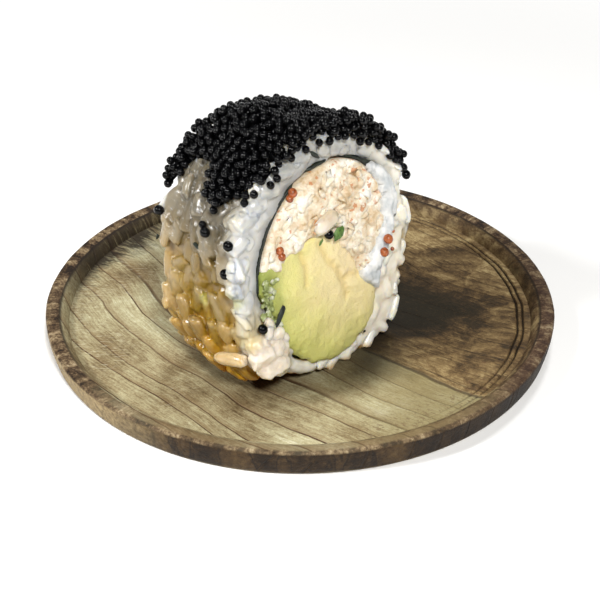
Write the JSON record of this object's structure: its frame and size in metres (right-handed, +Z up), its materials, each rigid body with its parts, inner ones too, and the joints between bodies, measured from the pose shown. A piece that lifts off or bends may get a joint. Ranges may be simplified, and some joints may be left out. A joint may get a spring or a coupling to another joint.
{
  "type": "uramaki roll on board",
  "caption": "Thick slice of inside-out sushi roll with avocado, crab salad and soft cheese, topped with black roe, standing on a small round wooden board.",
  "frame": {"origin": "middle of the board's flat underside", "axes": "+Z up through the board, -Y towards the side that the slice's near cut face looks to, with that face turned 43 degrees to the right"},
  "size_m": [0.1, 0.1, 0.0514],
  "materials": {
    "wood": "oiled, with fine open grain",
    "rice": "moist and slightly translucent",
    "seaweed": "moist, dull",
    "avocado": "soft, faintly moist",
    "crab": "moist shreds in dressing",
    "cheese": "smooth, faintly moist",
    "roe": "wet gloss"
  },
  "bodies": {
    "root": {"board": "wood", "rice": "rice", "nori": "seaweed", "avocado": "avocado", "crab_salad": "crab", "cream_cheese": "cheese", "black_roe": "roe"}
  },
  "joints": []
}
